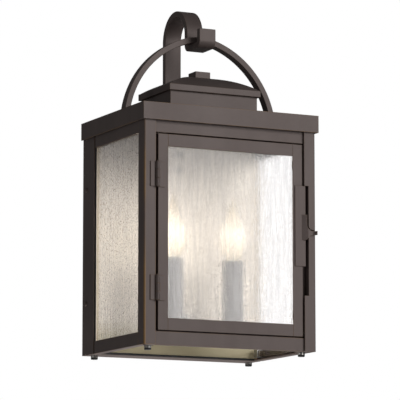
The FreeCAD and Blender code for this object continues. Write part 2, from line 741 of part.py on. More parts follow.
def build_roof():
    """A tray shaped roof with a vent under the chimney and a slot for the hook strap."""
    outer = half + side_overhang
    inner = outer - sheet_metal
    edge = front - front_overhang
    blank = block("roof_blank", (-outer, outer), (edge, 0), (high, roof_top))
    hollow = block("roof_hollow", (-inner, inner), (edge + sheet_metal, OVERCUT),
                   (high - OVERCUT, roof_under))
    vent = block("roof_vent", (-roof_vent_x / 2, roof_vent_x / 2),
                 (crown_y - roof_vent_y / 2, crown_y + roof_vent_y / 2),
                 (roof_under - OVERCUT, roof_top + OVERCUT))
    slot = block("roof_hook_slot", (-strap_width / 2 - gap, strap_width / 2 + gap),
                 (-strap_wall_gap - strap_bar - gap, -strap_wall_gap + gap),
                 (roof_under - OVERCUT, roof_top + OVERCUT))
    holes = []
    for side in (-1, 1):
        holes.append(rod("roof_bail_hole{}".format(side + 1),
                         (side * (bail_foot - bail_bar / 2), bail_y, roof_under - OVERCUT), "Z",
                         screw_radius, 4))
    piece(cut("roof", blank, hollow, vent, slot, *holes))


def build_chimney():
    """The vent chimney: four walls on the roof, with the bridge that the lid's stud screws into."""
    outer_x = chimney_width / 2
    outer_y = chimney_depth / 2
    top = roof_top + chimney_height
    walls = block("chimney_walls", (-outer_x, outer_x), (crown_y - outer_y, crown_y + outer_y),
                  (roof_top, top))
    hollow = block("chimney_hollow", (sheet_metal - outer_x, outer_x - sheet_metal),
                   (crown_y - outer_y + sheet_metal, crown_y + outer_y - sheet_metal),
                   (roof_top - OVERCUT, top + OVERCUT))
    piece(cut("chimney", walls, hollow))
    bridge = block("bridge_bar", (sheet_metal - outer_x, outer_x - sheet_metal),
                   (crown_y - 7, crown_y + 7), (roof_top, roof_top + 2))
    bore = rod("bridge_bore", (0, crown_y, roof_top - OVERCUT), "Z", stud_radius, DRILL)
    piece(cut("chimney_bridge", bridge, bore))


def pillow(label, base, shrink):
    """A four sided pillow: two crossing cylinders over the lid's rectangle, less a wall."""
    drums = []
    for reach, axis in ((lid_width / 2, "Y"), (lid_depth / 2, "X")):
        radius = (reach * reach + lid_rise * lid_rise) / (2 * lid_rise)
        centre_z = base + lid_rise - radius
        if axis == "Y":
            start = (0, crown_y - lid_depth, centre_z)
            length = 2 * lid_depth
        else:
            start = (-lid_width, crown_y, centre_z)
            length = 2 * lid_width
        drums.append(rod("{}_drum_{}".format(label, axis), start, axis, radius - shrink, length))
    return common(label + "_dome", drums[0], drums[1])


def build_lid():
    """The chimney lid: a square rim and a pillow top, hollow, with its block and stud."""
    top = roof_top + chimney_height
    base = top + lid_rim
    half_x = lid_width / 2
    half_y = lid_depth / 2
    rim_outline = [(-half_x, -half_y), (half_x, -half_y), (half_x, half_y), (-half_x, half_y)]
    rim = padded("lid_rim_block", "XY_Plane", rim_outline, lid_rim, (0, crown_y, top + lid_rim / 2),
                 lid_edge)
    over = block("lid_over", (-half_x, half_x), (crown_y - half_y, crown_y + half_y),
                 (base - lid_edge, base + lid_rise + 1))
    cap_top = common("lid_pillow", pillow("lid_outer", base - lid_edge, 0), over)
    hollow_box = block("lid_hollow_box", (sheet_metal * 2 - half_x, half_x - sheet_metal * 2),
                       (crown_y - half_y + sheet_metal * 2, crown_y + half_y - sheet_metal * 2),
                       (top + sheet_metal, base + lid_rise))
    hollow = common("lid_hollow", pillow("lid_inner", base - lid_edge, 2 * sheet_metal), hollow_box)
    mouth = block("lid_mouth", (lid_lip - half_x, half_x - lid_lip),
                  (crown_y - half_y + lid_lip, crown_y + half_y - lid_lip),
                  (top - OVERCUT, top + sheet_metal + OVERCUT))
    bore = rod("lid_bore", (0, crown_y, top - 1), "Z", stud_radius, lid_rim + lid_rise + 5)
    piece(cut("chimney_lid", fused("lid_blank", rim, cap_top), hollow, mouth, bore))

    peak = base - lid_edge + lid_rise
    reach = block_size / 2
    cube = block("finial_cube", (-reach, reach), (crown_y - reach, crown_y + reach),
                 (peak - 4, peak + block_height + 0.6))
    seat = pillow("finial_seat", base - lid_edge, 0)
    seat_bore = rod("finial_bore", (0, crown_y, peak - 5), "Z", stud_radius, 8)
    piece(cut("finial_block", cube, seat, seat_bore))
    piece(rod("finial_stud", (0, crown_y, roof_top), "Z", stud_radius,
              peak + 3 - roof_top))


def build_bail():
    """The arch over the roof: two side arcs and a crown arc, with a screw up into each foot."""
    foot_inner = bail_foot - bail_bar
    crown = (0, bail_crown_z)
    right = (-bail_side_x, bail_side_z)
    left = (bail_side_x, bail_side_z)
    outline = [(bail_foot, roof_top), (bail_join, bail_join_z, right, 1),
               (-bail_join, bail_join_z, crown, 1),
               (-bail_foot, roof_top, left, 1), (-foot_inner, roof_top),
               (-bail_join_inner, bail_join_inner_z, left, -1),
               (bail_join_inner, bail_join_inner_z, crown, -1),
               (foot_inner, roof_top, right, -1)]
    ring = padded("bail_ring", "XZ_Plane", outline, bail_width, (0, bail_y, 0), bar_edge)
    holes, screws = [], []
    for side in (-1, 1):
        x = side * (bail_foot - bail_bar / 2)
        holes.append(rod("bail_hole{}".format(side + 1), (x, bail_y, roof_top - OVERCUT), "Z",
                         screw_radius, 9 - sheet_metal))
        screws.append(screw("bail_screw{}".format(side + 1), (x, bail_y, roof_under), "Z", 8))
    piece(cut("bail", ring, *holes))
    piece(grouped("bail_screws", *screws))


def hook_screw_z(level):
    """Height of a hook screw, the lower one at level 0."""
    return strap_tail + hook_screw_low + hook_screw_pitch * level


def build_hook():
    """The strap that rises from the wall box, crooks forward and cradles the bail."""
    rear = -strap_wall_gap
    centre_y = rear - crook_radius
    inner_radius = crook_radius - strap_bar
    leg_front = centre_y - crook_radius
    leg_back = leg_front + strap_bar
    seat = seat_height
    floor = seat - strap_bar
    lip_inner = seat_front_y + strap_bar
    centre = (centre_y, crook_height)
    outline = [
        (seat_front_y, lip_top),
        (seat_front_y, floor + seat_corner),
        (seat_front_y + seat_corner, floor, (seat_front_y + seat_corner, floor + seat_corner), 1),
        (leg_back - seat_corner, floor),
        (leg_back, floor + seat_corner, (leg_back - seat_corner, floor + seat_corner), 1),
        (leg_back, crook_height),
        (centre_y + inner_radius, crook_height, centre, -1),
        (centre_y + inner_radius, strap_tail),
        (rear, strap_tail),
        (rear, crook_height),
        (leg_front, crook_height, centre, 1),
        (leg_front, seat + seat_fillet),
        (leg_front - seat_fillet, seat, (leg_front - seat_fillet, seat + seat_fillet), -1),
        (lip_inner + seat_fillet, seat),
        (lip_inner, seat + seat_fillet, (lip_inner + seat_fillet, seat + seat_fillet), -1),
        (lip_inner, lip_top),
    ]
    strap = padded("hook_bar", "YZ_Plane", outline, strap_width, edge=bar_edge)
    spacer = block("hook_spacer_blank", (-strap_width / 2, strap_width / 2),
                   (box_front + sheet_metal, rear - strap_bar),
                   (strap_tail, strap_tail + spacer_height))
    strap_holes, spacer_holes, screws = [], [], []
    for level in (0, 1):
        z = hook_screw_z(level)
        strap_holes.append(rod("hook_hole{}".format(level), (0, rear - strap_bar - 1, z), "Y",
                               stud_radius, strap_bar + 2))
        spacer_holes.append(rod("spacer_hole{}".format(level), (0, box_front, z), "Y",
                                stud_radius, wall_box_depth))
        screws.append(screw("hook_screw{}".format(level), (0, rear, z), "-Y",
                            wall_box_depth - strap_wall_gap, stud_radius, hook_screw_head, 2))
    piece(cut("hook", strap, *strap_holes))
    piece(cut("hook_spacer", spacer, *spacer_holes))
    piece(grouped("hook_screws", *screws))


# ---------------------------------------------------------------- lamps

def bar_screw_x(level):
    """The two screws of the lamp bar stand either side of its upright tab's middle."""
    return bar_screw_reach * (2 * level - 1)


def bar_screw_z():
    """Height of the lamp bar's screws."""
    return bar_top + bar_screw_rise


def build_lamp_bar():
    """The T shaped bar that carries both candles, screwed to the wall box through the panel."""
    reach = candle_x + bar_overhang
    under = bar_top - bar_metal
    across = block("lamp_bar_across", (-reach, reach),
                   (candle_y - bar_width / 2, candle_y + bar_width / 2), (under, bar_top))
    arm = block("lamp_bar_arm", (-bar_arm, bar_arm), (candle_y, panel_front), (under, bar_top))
    tab = block("lamp_bar_tab", (-bar_arm, bar_arm), (panel_front - bar_metal, panel_front),
                (under, bar_top + bar_tab))
    holes = []
    for side in (-1, 1):
        holes.append(rod("lamp_bar_hole{}".format(side + 1),
                         (side * candle_x, candle_y, under - OVERCUT), "Z", nipple_radius, DRILL))
    screws = []
    for level in (0, 1):
        holes.append(rod("lamp_bar_tab_hole{}".format(level),
                         (bar_screw_x(level), panel_front - 4, bar_screw_z()), "Y",
                         screw_radius, 6))
        screws.append(screw("lamp_bar_screw{}".format(level),
                            (bar_screw_x(level), panel_front - bar_metal, bar_screw_z()), "Y", 7))
    piece(cut("lamp_bar", fused("lamp_bar_blank", across, arm, tab), *holes))
    piece(grouped("lamp_bar_screws", *screws))


def build_candle(side, name):
    """One candle: sleeve, socket, and its lamp with a screw cap, a glass and a filament stem."""
    x = side * candle_x
    sleeve = rod(name + "_sleeve_outer", (x, candle_y, bar_top), "Z", candle_radius,
                 candle_top - bar_top)
    hollow = rod(name + "_sleeve_inner", (x, candle_y, bar_top - OVERCUT), "Z",
                 candle_radius - sleeve_wall, candle_top - bar_top + 2 * OVERCUT)
    piece(cut(name + "_candle_sleeve", sleeve, hollow))

    seat = candle_top - bar_top - 4
    cup = seat - 26
    nipple = -bar_metal - 6
    socket = [(1.8, nipple), (nipple_radius, nipple), (nipple_radius, 0), (8, 0), (8, cup - 6),
              (socket_radius, cup - 2), (socket_radius, seat), (cap_radius, seat), (cap_radius, cup), (1.8, cup)]
    piece(turned(name + "_socket", socket, (x, candle_y, bar_top)))

    lamp_base = candle_top - 4
    cap_length = 22
    rim = cap_radius + 0.9
    cap = [(0, -cap_length), (2.4, -cap_length), (cap_radius - 1.6, 3 - cap_length),
           (cap_radius - 0.1, 4 - cap_length), (cap_radius - 0.1, 0), (rim, 0.4), (rim, 3.4),
           (0, 3.4)]
    piece(turned(name + "_lamp_cap", cap, (x, candle_y, lamp_base)))

    skin = 0.8
    base = 3.4
    tall = lamp_top - lamp_base
    belly = 27
    glass_outline = [(rim - skin, base), (rim, base), (rim + 1.5, base + 3),
                     (lamp_radius - 2.2, belly - 10), (lamp_radius, belly),
                     (lamp_radius - 0.6, belly + 8), (lamp_radius - 3.6, belly + 20),
                     (lamp_radius - 8.4, belly + 34), (2.6, tall - 5), (0, tall),
                     (0, tall - 4), (2.2, tall - 9), (lamp_radius - 9.4, belly + 32.5),
                     (lamp_radius - 4.5, belly + 19.2), (lamp_radius - 1.4, belly + 7.6),
                     (lamp_radius - skin, belly), (lamp_radius - 3, belly - 9.4),
                     (rim + 0.6, base + 3.4)]
    piece(turned(name + "_lamp_glass", glass_outline, (x, candle_y, lamp_base)))
    stem = [(0, base), (3, base), (2, base + 4), (1.2, base + 12), (1.2, belly + 16),
            (0, belly + 18)]
    piece(turned(name + "_lamp_stem", stem, (x, candle_y, lamp_base)))


def lead_points(side):
    """The corners of a lead's route, from its socket down, back and up to the grommet."""
    end_x = grommet_x + side * 1.7
    under = bar_top - bar_metal
    return [(side * candle_x, candle_y, under - 6), (side * candle_x, candle_y, under - 16),
            (side * 30, candle_y + 22, under - 16), (end_x, panel_front - 22, grommet_z - 4),
            (end_x, panel_front - 12, grommet_z), (end_x, box_front + 8, grommet_z)]


def build_leads():
    """Two insulated leads, swept along straight runs joined by arcs."""
    leads = []
    for side in (-1, 1):
        points = [FreeCAD.Vector(*[as_size(value).value for value in point])
                  for point in lead_points(side)]
        edges = []
        here = points[0]
        for index in range(1, len(points) - 1):
            corner = points[index]
            back = points[index - 1] - corner
            ahead = points[index + 1] - corner
            trim = 0.4 * min(back.Length, ahead.Length)
            start = corner + back.normalize() * trim
            end = corner + ahead.normalize() * trim
            middle_way = (back + ahead).normalize()
            half_turn = (math.pi - back.getAngle(ahead)) / 2
            radius = trim / math.tan(half_turn)
            bulge = radius / math.cos(half_turn) - radius
            edges.append(Part.LineSegment(here, start).toShape())
            edges.append(Part.Arc(start, corner + middle_way * bulge, end).toShape())
            here = end
        edges.append(Part.LineSegment(here, points[-1]).toShape())
        path = Part.Wire(edges)
        ring = Part.Circle(points[0], points[1] - points[0], lead_radius.value)
        tube = path.makePipeShell([Part.Wire([ring.toShape()])], True, True)
        print("lead volume", round(tube.Volume, 2), "section by length",
              round(math.pi * lead_radius.value ** 2 * path.Length, 2))
        lead = document.addObject("Part::Feature", "lead{}".format(side + 1))
        lead.Shape = tube
        leads.append(lead)
    piece(grouped("lamp_leads", *leads))


# ---------------------------------------------------------------- door

def build_door_frame():
    """Two stiles at full height and two rails between them, each folded back at the edge."""
    back = door_plane + door_metal
    deep = door_plane + door_depth
    tall = door_high - door_low
    for side, edge, name in ((-1, door_left, "left"), (1, door_right, "right")):
        outline = [(edge, door_plane), (edge - side * stile, door_plane),
                   (edge - side * stile, back), (edge - side * door_metal, back),
                   (edge - side * door_metal, deep), (edge, deep)]
        label = "door_{}_stile".format(name)
        if side < 0:
            piece(padded(label, "XY_Plane", outline, tall, (0, 0, door_middle)))
            continue
        blank = padded(label + "_blank", "XY_Plane", outline, tall, (0, 0, door_middle))
        piece(cut(label, blank, *latch_slots()))
    start = door_left + stile + joint_gap
    end = door_right - stile - joint_gap
    for level, edge, name in ((-1, door_low, "bottom"), (1, door_high, "top")):
        outline = [(door_plane, edge), (door_plane, edge - level * door_rail),
                   (back, edge - level * door_rail), (back, edge - level * door_metal),
                   (deep, edge - level * door_metal), (deep, edge)]
        piece(padded("door_{}_rail".format(name), "YZ_Plane", outline, end - start,
                     ((start + end) / 2, 0, 0)))


def latch_slots():
    """The two slots in the right stile that the latch studs run in."""
    slots = []
    radius = latch_stud_radius + running_gap
    for index, z in enumerate((latch_stud_low, latch_stud_high)):
        y = (door_plane - 1, door_plane + 3)
        bottom = z - latch_travel
        straight = block("latch_slot_middle{}".format(index),
                         (latch_stud_x - radius, latch_stud_x + radius), y, (bottom, z))
        ends = [rod("latch_slot_end{}{}".format(index, number), (latch_stud_x, y[0], level), "Y",
                    radius, 4) for number, level in enumerate((bottom, z))]
        slots.append(fused("latch_slot{}".format(index), straight, *ends))
    return slots


def build_door_glass():
    """The door's rain glass and the four small clips that hold it."""
    back = door_plane + door_metal
    left = door_left + stile - glass_lap
    right = door_right - stile + glass_lap
    piece(block("door_glass", (left, right), (back, back + glass),
                (door_low + door_rail - glass_lap, door_high - door_rail + glass_lap)))
    clips = []
    for side, edge in ((-1, left), (1, right)):
        for level in (-1, 1):
            outline = [(edge + side * 5, back), (edge + side * gap, back),
                       (edge + side * gap, back + glass), (edge - side * 2.6, back + glass),
                       (edge - side * 2.6, back + glass + 1), (edge + side * 1.2, back + glass + 1),
                       (edge + side * 1.2, back + 1), (edge + side * 5, back + 1)]
            clips.append(padded("door_clip{}{}".format(side + 1, level + 1), "XY_Plane", outline,
                                10, (0, 0, door_middle + level * 92)))
    piece(grouped("door_glass_clips", *clips))


def build_hinges():
    """Two butt hinges: post leaf with two knuckles, door leaf with one, and the pins."""
    pins = []
    third = hinge_height / 6
    bore_length = hinge_height + 4
    for level, name in ((1, "upper"), (-1, "lower")):
        z = door_middle + level * hinge_spacing / 2
        span = (z - hinge_height / 2, z + hinge_height / 2)
        bands = ((span[0], z - third - 0.15), (z + third + 0.15, span[1]))
        parts = [block(name + "_post_leaf_plate", (post_leaf, hinge_x - 2.4),
                       (front - leaf_metal, front), span)]
        for index, band in enumerate(bands):
            parts.append(block("{}_post_tongue{}".format(name, index), (hinge_x - 2.4, hinge_x),
                               (front - leaf_metal, front), band))
            parts.append(rod("{}_post_knuckle{}".format(name, index), (hinge_x, hinge_y, band[0]),
                             "Z", knuckle_radius, band[1] - band[0]))
        bore = rod(name + "_post_bore", (hinge_x, hinge_y, span[0] - 2), "Z", pin_radius,
                   bore_length)
        piece(cut(name + "_hinge_post_leaf", fused(name + "_post_leaf_blank", *parts), bore))

        middle = (z - third + 0.15, z + third - 0.15)
        web = (hinge_x + 2.6, hinge_x + 2.6 + leaf_metal)
        skin = (door_plane - leaf_metal, door_plane)
        parts = [block(name + "_door_leaf_plate", (web[0], door_leaf), skin, span),
                 block(name + "_door_web", web, (hinge_y + knuckle_radius - 2.2, door_plane),
                       middle),
                 block(name + "_door_tongue", (hinge_x, web[1]),
                       (hinge_y + knuckle_radius - 1.4, hinge_y + knuckle_radius), middle),
                 rod(name + "_door_knuckle", (hinge_x, hinge_y, middle[0]), "Z", knuckle_radius,
                     middle[1] - middle[0])]
        bore = rod(name + "_door_bore", (hinge_x, hinge_y, span[0] - 2), "Z",
                   pin_radius + pin_clearance, bore_length)
        piece(cut(name + "_hinge_door_leaf", fused(name + "_door_leaf_blank", *parts), bore))

        pin = rod(name + "_pin_shank", (hinge_x, hinge_y, span[0]), "Z", pin_radius, hinge_height)
        heads = [taper(name + "_pin_top", (hinge_x, hinge_y, span[1]), "Z", pin_radius + 0.8,
                       pin_radius, 1),
                 taper(name + "_pin_bottom", (hinge_x, hinge_y, span[0]), "-Z", pin_radius + 0.8,
                       pin_radius, 1)]
        pins.append(fused(name + "_hinge_pin", pin, *heads))
    piece(grouped("hinge_pins", *pins))


# ---------------------------------------------------------------- latch

def build_latch():
    """The sliding latch plate with its curled finger tab, and the studs that guide it."""
    back = door_plane - running_gap
    face = back - latch_metal
    tip_x = half + finger_tip
    tab_back = front - finger_lift
    tab_face = tab_back - latch_metal
    plate = padded("latch_flat", "XZ_Plane", [
        (latch_left, latch_low),
        (latch_right, latch_low),
        (latch_right, finger_low),
        (ramp_start, finger_low),
        (ramp_start, finger_top),
        (latch_right, finger_top),
        (latch_right, latch_high),
        (latch_left, latch_high),
    ], latch_metal, (0, (back + face) / 2, 0))
    silhouette = padded("finger_silhouette", "XZ_Plane", [
        (ramp_start, finger_low),
        (latch_right, finger_low),
        (finger_neck_x, finger_neck_z),
        (tip_x, finger_z - finger_tip),
        (tip_x, finger_z + finger_tip, (tip_x, finger_z), 1),
        (finger_root + finger_sweep, finger_z + finger_tip),
        (finger_root, finger_z + finger_tip + finger_sweep,
         (finger_root + finger_sweep, finger_z + finger_tip + finger_sweep), -1),
        (finger_root, finger_top),
        (ramp_start, finger_top),
    ], trim_length, (0, door_plane, 0))
    curl_x = half - finger_curl - latch_metal - running_gap
    tip_y = tab_face - finger_curl
    band = padded("finger_section", "XY_Plane", [
        (ramp_start, back),
        (ramp_start, face),
        (ramp_end, tab_face),
        (curl_x, tab_face),
        (curl_x + finger_curl, tip_y, (curl_x, tip_y), -1),
        (curl_x + finger_curl + latch_metal, tip_y),
        (curl_x, tab_back, (curl_x, tip_y), 1),
        (ramp_end, tab_back),
    ], trim_length)
    piece(fused("latch_plate", plate, common("latch_finger", silhouette, band)))
    studs = []
    for index, z in enumerate((latch_stud_low, latch_stud_high)):
        head = door_plane + door_metal + running_gap
        studs.append(fused("latch_stud{}".format(index),
                           rod("latch_shank{}".format(index), (latch_stud_x, back, z), "Y",
                               latch_stud_radius, head - back),
                           rod("latch_head{}".format(index), (latch_stud_x, head, z), "Y",
                               latch_stud_head, 1)))
    piece(grouped("latch_studs", *studs))


# ---------------------------------------------------------------- whole lantern

def build_lantern():
    """Makes every sub-part."""
    build_wall_plate()
    build_wall_box()
    build_back_panel()
    build_posts()
    build_side_rails()
    build_front_rails()
    build_side_glass()
    build_corner_rods()
    build_roof()
    build_chimney()
    build_lid()
    build_bail()
    build_hook()
    build_lamp_bar()
    for side, name in ((-1, "left"), (1, "right")):
        build_candle(side, name)
    build_leads()
    build_door_frame()
    build_door_glass()
    build_hinges()
    build_latch()


def check_and_write():
    """Refuses any failed object or bad solid, then writes one STEP file for each sub-part."""
    for thing in document.Objects:
        if "Invalid" in thing.State or "Error" in thing.State:
            raise RuntimeError("{} failed: {}".format(thing.Label, thing.State))
    os.makedirs("parts", exist_ok=True)
    for solid in pieces:
        shape = solid.Shape
        if shape.isNull() or not shape.isValid() or not shape.Solids:
            raise RuntimeError(solid.Label + " has no valid solid")
        shape.exportStep("parts/{}.step".format(solid.Label))
    print(len(pieces), "sub-parts written")


build_lantern()
document.recompute()
check_and_write()
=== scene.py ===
import json

import bpy
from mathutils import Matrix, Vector


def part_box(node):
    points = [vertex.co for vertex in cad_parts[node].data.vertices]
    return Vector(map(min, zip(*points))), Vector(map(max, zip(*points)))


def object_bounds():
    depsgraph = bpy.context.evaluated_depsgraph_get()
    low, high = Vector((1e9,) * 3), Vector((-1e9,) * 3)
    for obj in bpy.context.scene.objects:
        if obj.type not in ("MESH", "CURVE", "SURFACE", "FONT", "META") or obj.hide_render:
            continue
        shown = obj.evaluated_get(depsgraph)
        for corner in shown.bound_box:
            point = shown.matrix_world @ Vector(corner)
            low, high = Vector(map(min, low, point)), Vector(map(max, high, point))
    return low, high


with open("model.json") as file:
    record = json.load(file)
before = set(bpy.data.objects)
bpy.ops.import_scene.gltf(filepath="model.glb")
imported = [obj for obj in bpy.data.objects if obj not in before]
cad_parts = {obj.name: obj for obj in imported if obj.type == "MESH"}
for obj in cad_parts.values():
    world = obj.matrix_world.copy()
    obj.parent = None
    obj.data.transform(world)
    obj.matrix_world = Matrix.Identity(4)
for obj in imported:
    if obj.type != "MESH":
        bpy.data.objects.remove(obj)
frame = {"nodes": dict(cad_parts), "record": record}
cad_low, cad_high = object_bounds()
nodes = frame["nodes"]

# ---------------------------------------------------------------- named values, in metres and watts

LAMP_SIDES = ("left", "right")
LAMP_HEART = 0.42  # height of the glow, as a share of the lamp glass's height
LAMP_COLOUR = (1.0, 0.87, 0.77)
LAMP_ENERGY = 0.0365
LAMP_RADIUS = 0.014

GLASS_IOR = 1.45
GLASS_ROUGHNESS = 0.13
GROUND_END = 0.5  # a pane's face is one of its end faces where its normal leans less than this to X

ROOM_GLOW = 0.10  # what the surroundings give every ray but the next two kinds
ROOM_SEEN = 1.0
ROOM_THROUGH_GLASS = 1.20

FLOOR_HEIGHT = -0.62
FLOOR_HALF = 4.0

CAMERA_PLACE = (-1.5527, -3.2276, -0.45575)  # fitted to the photo's straight edges
CAMERA_LOOK = (0.4393, 0.8866, 0.1445)
CAMERA_LENS = 259.36  # millimetres, as is the sensor
CAMERA_SENSOR = 36.0
CAMERA_CLIP = (0.05, 30.0)


def rgb(r, g, b):
    return (r, g, b, 1.0)


def scaled(colour, share):
    return tuple(share * part for part in colour[:3]) + (1.0,)


def middle_of(low, high):
    return (low + high) / 2


def lamp_heart(side):
    """The middle of a lamp's glow."""
    low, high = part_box(side + "_lamp_glass")
    centre = middle_of(low, high)
    return Vector((centre.x, centre.y, low.z + LAMP_HEART * (high.z - low.z)))


# ---------------------------------------------------------------- shader nodes


class Shader:
    """A material and short ways to add and join its nodes."""

    def __init__(self, name):
        self.material = bpy.data.materials.new(name)
        self.material.use_nodes = True
        self.tree = self.material.node_tree
        self.tree.nodes.clear()
        self.out = self.tree.nodes.new("ShaderNodeOutputMaterial")

    def add(self, kind, **values):
        node = self.tree.nodes.new("ShaderNode" + kind)
        for key, value in values.items():
            setattr(node, key, value)
        return node

    def put(self, socket, value):
        """Joins an output to the socket, or sets the socket to a plain value."""
        if isinstance(value, bpy.types.NodeSocket):
            self.tree.links.new(value, socket)
        else:
            socket.default_value = value

    def feed(self, node, **inputs):
        """Joins or sets inputs by name, with _ for a space."""
        for key, value in inputs.items():
            self.put(node.inputs[key.replace("_", " ")], value)
        return node

    def maths(self, operation, a, b=0.0, clamp=False):
        node = self.add("Math", operation=operation, use_clamp=clamp)
        self.put(node.inputs[0], a)
        self.put(node.inputs[1], b)
        return node.outputs[0]

    def place(self, stretch=(1, 1, 1)):
        """The point on the part, in the shared frame, stretched."""
        point = self.add("TexCoord").outputs["Object"]
        node = self.add("Mapping")
        self.put(node.inputs["Vector"], point)
        node.inputs["Scale"].default_value = stretch
        return node.outputs[0]

    def axes(self):
        """The point's X, Y and Z."""
        parts = self.add("SeparateXYZ")
        self.put(parts.inputs[0], self.place())
        return parts.outputs

    def noise(self, scale, detail=3.0, stretch=(1, 1, 1), roughness=0.5, warp=0.0):
        node = self.add("TexNoise")
        self.feed(node, Vector=self.place(stretch), Scale=scale, Detail=detail,
                  Roughness=roughness, Distortion=warp)
        return node.outputs["Fac"]

    def cells(self, scale, stretch=(1, 1, 1)):
        """The distance to the nearest of scattered points."""
        node = self.add("TexVoronoi", feature="F1")
        self.feed(node, Vector=self.place(stretch), Scale=scale)
        return node.outputs["Distance"]

    def span(self, value, low, high, to_low=0.0, to_high=1.0):
        """Stretches the range low to high onto to_low to to_high, and holds it there."""
        node = self.add("MapRange", clamp=True)
        for socket, given in zip(node.inputs, (value, low, high, to_low, to_high)):
            self.put(socket, given)
        return node.outputs[0]

    def even(self, value, to_low=0.0, to_high=1.0):
        """Stretches a noise's usual range."""
        return self.span(value, 0.3, 0.7, to_low, to_high)

    def blend(self, share, first, second):
        node = self.add("Mix", data_type="RGBA", blend_type="MIX")
        for index, value in ((0, share), (6, first), (7, second)):
            self.put(node.inputs[index], value)
        return node.outputs[2]

    def bump(self, height, depth, strength=1.0, normal=None):
        node = self.add("Bump")
        self.feed(node, Height=height, Distance=depth, Strength=strength)
        if normal is not None:
            self.put(node.inputs["Normal"], normal)
        return node.outputs[0]

    def bevel(self, radius):
        """The normal with the edges rounded by this radius."""
        node = self.add("Bevel", samples=6)
        node.inputs["Radius"].default_value = radius
        return node.outputs[0]

    def edge(self, radius, low=0.02, high=0.2):
        """1 along the edges of the piece, 0 on its flats."""
        turn = self.add("VectorMath", operation="DOT_PRODUCT")
        self.put(turn.inputs[0], self.bevel(radius))
        self.put(turn.inputs[1], self.add("NewGeometry").outputs["Normal"])
        return self.span(self.maths("SUBTRACT", 1.0, turn.outputs["Value"]), low, high)

    def near_line(self, x, y, near, far):
        """1 within near of the upright line at (x, y), 0 beyond far."""
        axes = self.axes()
        across = self.maths("POWER", self.maths("SUBTRACT", axes["X"], x), 2.0)
        deep = self.maths("POWER", self.maths("SUBTRACT", axes["Y"], y), 2.0)
        return self.span(self.maths("SQRT", self.maths("ADD", across, deep)), near, far, 1.0, 0.0)

    def principled(self, **inputs):
        return self.feed(self.add("BsdfPrincipled"), **inputs)

    def done(self, surface):
        self.tree.links.new(surface, self.out.inputs["Surface"])
        return self.material


# ---------------------------------------------------------------- materials


def bronze_paint(name, wear, corner=None):
    """Brown-grey satin powder coat, rubbed back to gold along its edges and down a corner."""
    s = Shader(name)
    cloud = s.noise(14.0, 4.0)
    streak = s.noise(60.0, 3.0, (1.0, 1.0, 0.16))
    grain = s.noise(1700.0, 2.0)
    tone = s.blend(s.even(cloud), rgb(0.128, 0.099, 0.092), rgb(0.158, 0.124, 0.116))
    tone = s.blend(s.span(streak, 0.42, 0.75, 0.0, 0.30), tone, rgb(0.105, 0.083, 0.076))
    bare = s.edge(0.0014, 0.01, 0.12)
    if corner is not None:
        bare = s.maths("MAXIMUM", bare, s.near_line(*corner, near=0.0012, far=0.0026))
    rubbed = s.span(s.noise(26.0, 5.0, (1, 1, 0.45)), 0.26, 0.56)
    worn = s.maths("MULTIPLY", s.maths("MULTIPLY", bare, rubbed), wear, clamp=True)
    colour = s.blend(worn, tone, rgb(0.29, 0.17, 0.070))
    rough = s.maths("ADD", s.even(cloud, 0.43, 0.53), s.even(grain, -0.04, 0.04))
    normal = s.bump(streak, 0.00010, 0.35, s.bevel(0.0006))
    normal = s.bump(grain, 0.00007, 0.55, normal)
    shader = s.principled(Base_Color=colour, Roughness=rough, Metallic=0.25, Normal=normal)
    shader.inputs["Specular IOR Level"].default_value = 0.45
    return s.done(shader.outputs[0])


def bare_metal(name, colour, rough):
    """Plated metal with a fine drawn grain, and a painted highlight along its edges."""
    s = Shader(name)
    grain = s.noise(900.0, 3.0, (1.0, 1.0, 0.2))
    cloud = s.noise(60.0, 4.0)
    tone = s.blend(s.span(cloud, 0.38, 0.68), colour, scaled(colour, 0.62))
    # Painted highlight: the edges are painted lighter, towards near-white.
    tone = s.blend(s.maths("MULTIPLY", s.edge(0.0004), 0.4), tone, rgb(0.85, 0.84, 0.80))
    normal = s.bump(grain, 0.00004, 0.5, s.bevel(0.0003))
    shader = s.principled(Base_Color=tone, Roughness=s.even(grain, rough - 0.08, rough + 0.10),
                          Metallic=1.0, Normal=normal)
    return s.done(shader.outputs[0])


def satin_panel():
    """Light satin enamel on the back of the lantern's inside, with painted shade: olive at its foot, where
    the lamps light it less, and golden towards its side corners.
    """
    s = Shader("satin_panel")
    low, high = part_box("back_panel")
    axes = s.axes()
    cloud = s.noise(9.0, 4.0)
    grain = s.noise(1300.0, 2.0)
    tone = s.blend(s.even(cloud), rgb(0.66, 0.59, 0.50), rgb(0.74, 0.67, 0.58))
    # Painted shade: the panel turns darker olive towards its foot, where the lamps light it less.
    foot = s.maths("SUBTRACT", axes["Z"], low.z)
    foot = s.maths("ADD", foot, s.even(cloud, -0.004, 0.004))
    tone = s.blend(s.span(foot, 0.014, 0.040, 0.9, 0.0), tone, rgb(0.40, 0.345, 0.20))
    # Painted shade: the panel turns darker and golden towards its side edges, in the corners against the
    # side walls.
    side = s.maths("SUBTRACT", high.x, s.maths("ABSOLUTE", axes["X"]))
    tone = s.blend(s.span(side, 0.002, 0.005, 0.8, 0.0), tone, rgb(0.50, 0.36, 0.20))
    shader = s.principled(Base_Color=tone, Roughness=s.even(grain, 0.36, 0.46), Metallic=0.15,
                          Normal=s.bump(grain, 0.00005, 0.5, s.bevel(0.0004)))
    return s.done(shader.outputs[0])


def soft_rubber(name, colour):
    """Matt rubber or insulation."""
    s = Shader(name)
    grain = s.noise(1500.0, 3.0)
    tone = s.blend(s.span(s.noise(90.0, 3.0), 0.35, 0.65), colour, scaled(colour, 1.5))
    shader = s.principled(Base_Color=tone, Roughness=s.even(grain, 0.55, 0.75),
                          Normal=s.bump(grain, 0.00006, 0.6, s.bevel(0.0003)))
    return s.done(shader.outputs[0])


